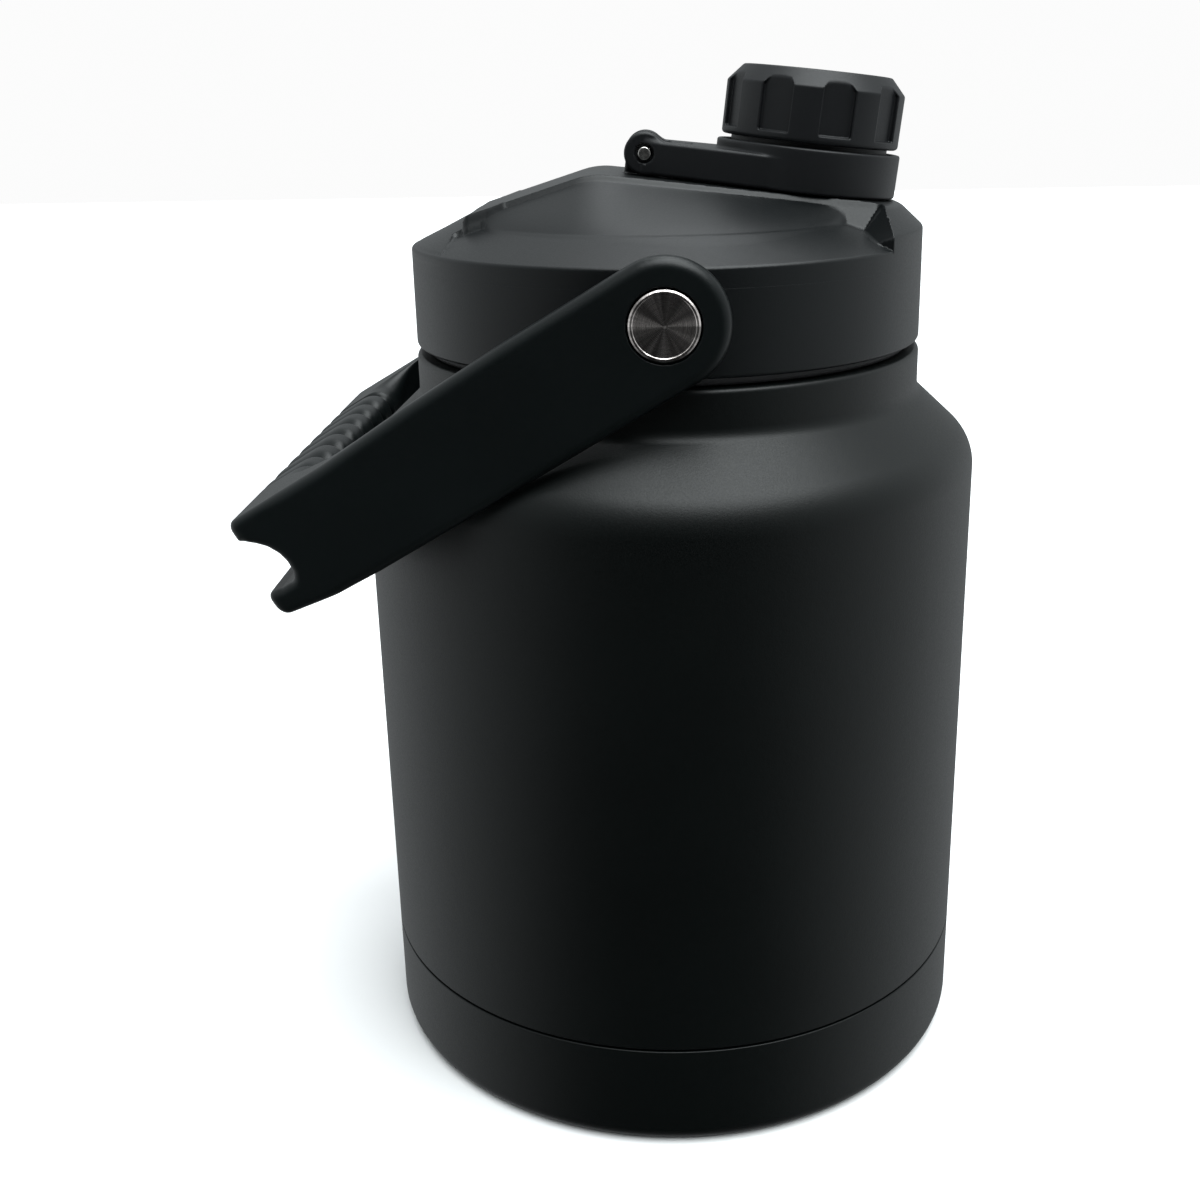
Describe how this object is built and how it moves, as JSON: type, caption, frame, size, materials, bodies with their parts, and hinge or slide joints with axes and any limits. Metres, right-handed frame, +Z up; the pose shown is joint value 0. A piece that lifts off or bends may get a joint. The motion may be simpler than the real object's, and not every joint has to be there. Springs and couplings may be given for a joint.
{
  "type": "growler",
  "caption": "Insulated stainless growler: a wide cylindrical vacuum jug with a sloped shoulder, a screw lid with a tethered screw cap over its spout, and a swinging bail handle.",
  "frame": {"origin": "centre of the base, on the surface it stands on", "axes": "+Z up along the vessel's axis, +X towards the spout, the bail's pivot axis along Y"},
  "size_m": [0.1631, 0.146, 0.235],
  "materials": {
    "powder_coat": "matte powder coat with a fine grain",
    "bare_steel": "satin, electropolished",
    "turned_steel": "face-turned, bright",
    "lid_plastic": "fine moulded texture",
    "handle_plastic": "fine moulded texture",
    "cap_plastic": "smooth satin",
    "white_plastic": "low-friction moulding",
    "silicone": "soft matte",
    "foam": "rigid closed-cell foam",
    "copper_foil": "thin foil",
    "brass": "knurled",
    "getter_metal": "sintered"
  },
  "bodies": {
    "vessel": {"outer_shell": "powder_coat", "base_cup": "powder_coat", "outer_bottom": "powder_coat", "port_seal": "bare_steel", "getter": "getter_metal", "inner_liner": "bare_steel", "radiation_foil": "copper_foil"},
    "rim_seal": {"rim_gasket": "silicone"},
    "plug_seal": {"plug_oring": "silicone"},
    "lid": {"lid_cover": "lid_plastic", "lid_plug": "lid_plastic", "lid_foam": "foam", "spout": "lid_plastic", "spout_gasket": "silicone", "pivot_bolt_left": "turned_steel", "pivot_bolt_right": "turned_steel", "pivot_washer_left": "white_plastic", "pivot_washer_right": "white_plastic", "thread_insert_left": "brass", "thread_insert_right": "brass"},
    "bail": {"handle": "handle_plastic", "pivot_bushing_left": "white_plastic", "pivot_bushing_right": "white_plastic"},
    "tether": {"tether_ring": "cap_plastic", "hinge_pin": "turned_steel"},
    "cap_collar": {"cap_retainer": "cap_plastic"},
    "spout_cap": {"cap_shell": "cap_plastic", "cap_liner": "cap_plastic", "cap_gasket": "silicone"}
  },
  "joints": [
    {"name": "lid_lift", "type": "slide", "parent": "vessel", "child": "rim_seal", "axis": [0, 0, 1], "range_m": [0, 0.06]},
    {"name": "lid_rise", "type": "slide", "parent": "rim_seal", "child": "plug_seal", "axis": [0, 0, 1], "range_m": [0, 0.00749]},
    {"name": "lid_turn", "type": "hinge", "parent": "plug_seal", "child": "lid", "pos_m": [0, 0, 0.172], "axis": [0, 0, 1], "range_deg": [0, 450]},
    {"name": "bail_swing", "type": "hinge", "parent": "lid", "child": "bail", "pos_m": [-0.0005, 0, 0.186], "axis": [0, 1, 0], "range_deg": [0, 225]},
    {"name": "tether_flip", "type": "hinge", "parent": "lid", "child": "tether", "pos_m": [-0.00466, 0, 0.21604], "axis": [0, -1, 0], "range_deg": [0, 138]},
    {"name": "cap_rise", "type": "slide", "parent": "tether", "child": "cap_collar", "axis": [0.1167, 0, 0.9932], "range_m": [0, 0.00437]},
    {"name": "cap_turn", "type": "hinge", "parent": "cap_collar", "child": "spout_cap", "pos_m": [0.03297, 0, 0.21666], "axis": [0.1167, 0, 0.9932], "range_deg": [0, 450]}
  ],
  "couplings": [
    {"joint": "lid_turn", "follows": "lid_rise", "rad_per_m": 1047.2},
    {"joint": "cap_turn", "follows": "cap_rise", "rad_per_m": 1795.2}
  ]
}
